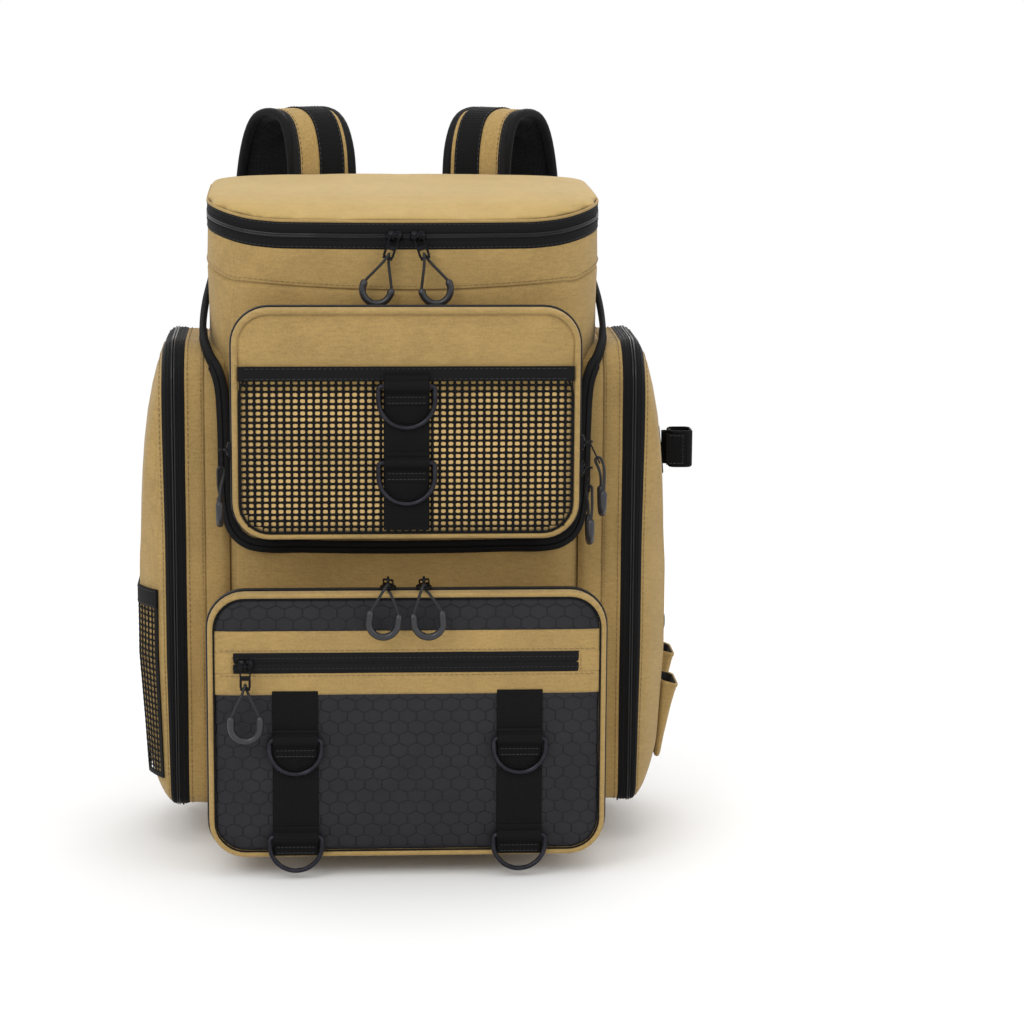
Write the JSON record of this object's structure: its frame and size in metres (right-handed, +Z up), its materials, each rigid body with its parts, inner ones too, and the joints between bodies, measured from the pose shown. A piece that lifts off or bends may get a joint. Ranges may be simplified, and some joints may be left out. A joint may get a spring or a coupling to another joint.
{
  "type": "fishing tackle backpack",
  "caption": "Tan and black fishing tackle backpack with a zipped top lid, two front pockets, two side pockets, D-rings, rod sleeves and padded shoulder straps.",
  "frame": {"origin": "middle of the main compartment's flat base", "axes": "+Z up, -Y the front with the pockets, +X the wearer's left when worn, the right side seen from the front"},
  "size_m": [0.4435, 0.3393, 0.5639],
  "materials": {
    "tan_fabric": "woven polyester, matt",
    "hex_fabric": "coated ripstop with embossed hexagons",
    "black_mesh": "open mesh",
    "black_webbing": "woven webbing",
    "black_tape": "zip tape, matt",
    "air_mesh": "padded spacer mesh",
    "ring_metal": "gunmetal, satin",
    "slider_metal": "gloss black enamel",
    "pull_grip": "satin rubber tube and black tab",
    "pull_cord": "braided cord",
    "black_plastic": "moulded acetal"
  },
  "bodies": {
    "pack": {"main_shell": "tan_fabric", "body_zip_tape": "black_tape", "back_panel": "tan_fabric", "back_pads": "air_mesh", "upper_pocket_gusset": "tan_fabric", "lower_pocket_gusset": "tan_fabric", "left_pocket_shell": "tan_fabric", "right_pocket_shell": "tan_fabric", "left_shoulder_strap": "tan_fabric", "right_shoulder_strap": "tan_fabric", "ladder_locks": "black_plastic", "strap_webbing": "black_webbing"},
    "lid": {"lid_panel": "tan_fabric", "lid_zip_tape": "black_tape"},
    "upper_door": {"upper_panel": "tan_fabric", "upper_mesh_pocket": "black_mesh", "upper_webbing": "black_webbing"},
    "lower_door": {"lower_panel": "hex_fabric", "lower_webbing": "black_webbing"},
    "left_door": {"left_panel": "tan_fabric", "left_mesh_pocket": "black_mesh"},
    "right_door": {"right_panel": "tan_fabric", "rod_sleeves": "tan_fabric", "side_loops": "black_webbing"},
    "rod_keeper": {"rod_strap": "black_webbing"},
    "handle": {"grab_handle": "black_webbing"},
    "upper_ring_high": {"upper_ring_high": "ring_metal"},
    "upper_ring_low": {"upper_ring_low": "ring_metal"},
    "lower_ring_left_high": {"lower_ring_left_high": "ring_metal"},
    "lower_ring_left_low": {"lower_ring_left_low": "ring_metal"},
    "lower_ring_right_high": {"lower_ring_right_high": "ring_metal"},
    "lower_ring_right_low": {"lower_ring_right_low": "ring_metal"},
    "lid_left_slider": {"lid_left_slider": "slider_metal"},
    "lid_left_pull": {"lid_left_pull": "pull_grip", "lid_left_cord": "pull_cord"},
    "lid_right_slider": {"lid_right_slider": "slider_metal"},
    "lid_right_pull": {"lid_right_pull": "pull_grip", "lid_right_cord": "pull_cord"},
    "small_zip_slider": {"small_zip_slider": "slider_metal"},
    "small_zip_pull": {"small_zip_pull": "pull_grip", "small_zip_cord": "pull_cord"},
    "lower_left_slider": {"lower_left_slider": "slider_metal"},
    "lower_left_pull": {"lower_left_pull": "pull_grip", "lower_left_cord": "pull_cord"},
    "lower_right_slider": {"lower_right_slider": "slider_metal"},
    "lower_right_pull": {"lower_right_pull": "pull_grip", "lower_right_cord": "pull_cord"},
    "upper_left_slider": {"upper_left_slider": "slider_metal"},
    "upper_left_pull": {"upper_left_pull": "pull_grip", "upper_left_cord": "pull_cord"},
    "upper_right_slider": {"upper_right_slider": "slider_metal"},
    "upper_right_pull": {"upper_right_pull": "pull_grip", "upper_right_cord": "pull_cord"},
    "upper_spare_slider": {"upper_spare_slider": "slider_metal"},
    "upper_spare_pull": {"upper_spare_pull": "pull_grip", "upper_spare_cord": "pull_cord"},
    "left_side_slider": {"left_side_slider": "slider_metal"},
    "left_side_tab": {"left_side_tab": "slider_metal"},
    "right_side_slider": {"right_side_slider": "slider_metal"},
    "right_side_tab": {"right_side_tab": "slider_metal"}
  },
  "joints": [
    {"name": "lid_hinge", "type": "hinge", "parent": "pack", "child": "lid", "pos_m": [0, 0.07, 0.505], "axis": [-1, 0, 0], "range_deg": [0, 95]},
    {"name": "upper_door_hinge", "type": "hinge", "parent": "pack", "child": "upper_door", "pos_m": [0, -0.122, 0.254], "axis": [1, 0, 0], "range_deg": [0, 65]},
    {"name": "lower_door_hinge", "type": "hinge", "parent": "pack", "child": "lower_door", "pos_m": [0, -0.152, 0.015], "axis": [1, 0, 0], "range_deg": [0, 80]},
    {"name": "left_door_hinge", "type": "hinge", "parent": "pack", "child": "left_door", "pos_m": [-0.177, 0.065, 0.22], "axis": [0, 0, -1], "range_deg": [0, 100]},
    {"name": "right_door_hinge", "type": "hinge", "parent": "pack", "child": "right_door", "pos_m": [0.177, 0.065, 0.22], "axis": [0, 0, 1], "range_deg": [0, 100]},
    {"name": "rod_keeper_hinge", "type": "hinge", "parent": "right_door", "child": "rod_keeper", "pos_m": [0.2065, 0, 0.302], "axis": [0, 0, 1], "range_deg": [-20, 20]},
    {"name": "handle_hinge", "type": "hinge", "parent": "pack", "child": "handle", "pos_m": [0, 0.084, 0.474], "axis": [1, 0, 0], "range_deg": [0, 150]},
    {"name": "upper_ring_high_hinge", "type": "hinge", "parent": "upper_door", "child": "upper_ring_high", "pos_m": [0, -0.1368, 0.372], "axis": [-1, 0, 0], "range_deg": [0, 90]},
    {"name": "upper_ring_low_hinge", "type": "hinge", "parent": "upper_door", "child": "upper_ring_low", "pos_m": [0, -0.1368, 0.314], "axis": [-1, 0, 0], "range_deg": [0, 60]},
    {"name": "lower_ring_left_high_hinge", "type": "hinge", "parent": "lower_door", "child": "lower_ring_left_high", "pos_m": [-0.0845, -0.1673, 0.108], "axis": [-1, 0, 0], "range_deg": [0, 90]},
    {"name": "lower_ring_left_low_hinge", "type": "hinge", "parent": "lower_door", "child": "lower_ring_left_low", "pos_m": [-0.0845, -0.1673, 0.0325], "axis": [-1, 0, 0], "range_deg": [0, 90]},
    {"name": "lower_ring_right_high_hinge", "type": "hinge", "parent": "lower_door", "child": "lower_ring_right_high", "pos_m": [0.0845, -0.1673, 0.108], "axis": [-1, 0, 0], "range_deg": [0, 90]},
    {"name": "lower_ring_right_low_hinge", "type": "hinge", "parent": "lower_door", "child": "lower_ring_right_low", "pos_m": [0.0845, -0.1673, 0.0325], "axis": [-1, 0, 0], "range_deg": [0, 90]},
    {"name": "lid_left_track", "type": "hinge", "parent": "pack", "child": "lid_left_slider", "pos_m": [0, 0.493, 0.48], "axis": [0, 0, -1], "range_deg": [0, 9]},
    {"name": "lid_left_pull_hinge", "type": "hinge", "parent": "lid_left_slider", "child": "lid_left_pull", "pos_m": [-0.008, -0.09954, 0.48], "axis": [-1, 0, 0], "range_deg": [0, 100]},
    {"name": "lid_right_track", "type": "hinge", "parent": "pack", "child": "lid_right_slider", "pos_m": [0, 0.493, 0.48], "axis": [0, 0, 1], "range_deg": [0, 9]},
    {"name": "lid_right_pull_hinge", "type": "hinge", "parent": "lid_right_slider", "child": "lid_right_pull", "pos_m": [0.0095, -0.09952, 0.48], "axis": [-1, 0, 0], "range_deg": [0, 100]},
    {"name": "small_zip_track", "type": "slide", "parent": "lower_door", "child": "small_zip_slider", "axis": [1, 0, 0], "range_m": [0, 0.243]},
    {"name": "small_zip_pull_hinge", "type": "hinge", "parent": "small_zip_slider", "child": "small_zip_pull", "pos_m": [-0.1215, -0.1706, 0.166], "axis": [-1, 0, 0], "range_deg": [0, 60]},
    {"name": "lower_left_track", "type": "slide", "parent": "lower_door", "child": "lower_left_slider", "axis": [-1, 0, 0], "range_m": [0, 0.095]},
    {"name": "lower_left_pull_hinge", "type": "hinge", "parent": "lower_left_slider", "child": "lower_left_pull", "pos_m": [-0.0144, -0.152, 0.2276], "axis": [-1, 0, 0], "range_deg": [0, 30]},
    {"name": "lower_right_track", "type": "slide", "parent": "lower_door", "child": "lower_right_slider", "axis": [1, 0, 0], "range_m": [0, 0.095]},
    {"name": "lower_right_pull_hinge", "type": "hinge", "parent": "lower_right_slider", "child": "lower_right_pull", "pos_m": [0.0124, -0.152, 0.2276], "axis": [-1, 0, 0], "range_deg": [0, 30]},
    {"name": "upper_left_track", "type": "slide", "parent": "pack", "child": "upper_left_slider", "axis": [0, 0, 1], "range_m": [0, 0.06]},
    {"name": "upper_left_pull_hinge", "type": "hinge", "parent": "upper_left_slider", "child": "upper_left_pull", "pos_m": [-0.1386, -0.122, 0.322], "axis": [0, 1, 0], "range_deg": [0, 60]},
    {"name": "upper_right_track", "type": "slide", "parent": "pack", "child": "upper_right_slider", "axis": [0, 0, 1], "range_m": [0, 0.055]},
    {"name": "upper_right_pull_hinge", "type": "hinge", "parent": "upper_right_slider", "child": "upper_right_pull", "pos_m": [0.1386, -0.122, 0.327], "axis": [0, -1, 0], "range_deg": [0, 60]},
    {"name": "upper_spare_track", "type": "slide", "parent": "pack", "child": "upper_spare_slider", "axis": [0, 0, 1], "range_m": [-0.02, 0]},
    {"name": "upper_spare_pull_hinge", "type": "hinge", "parent": "upper_spare_slider", "child": "upper_spare_pull", "pos_m": [0.1386, -0.122, 0.307], "axis": [1, 0, 0], "range_deg": [-20, 20]},
    {"name": "left_side_track", "type": "slide", "parent": "pack", "child": "left_side_slider", "axis": [0, -1, 0], "range_m": [0, 0.05]},
    {"name": "left_side_tab_hinge", "type": "hinge", "parent": "left_side_slider", "child": "left_side_tab", "pos_m": [-0.177, 0.02, 0.0234], "axis": [0, 1, 0], "range_deg": [-45, 45]},
    {"name": "right_side_track", "type": "slide", "parent": "pack", "child": "right_side_slider", "axis": [0, -1, 0], "range_m": [0, 0.05]},
    {"name": "right_side_tab_hinge", "type": "hinge", "parent": "right_side_slider", "child": "right_side_tab", "pos_m": [0.177, 0.02, 0.0234], "axis": [0, 1, 0], "range_deg": [-45, 45]}
  ]
}
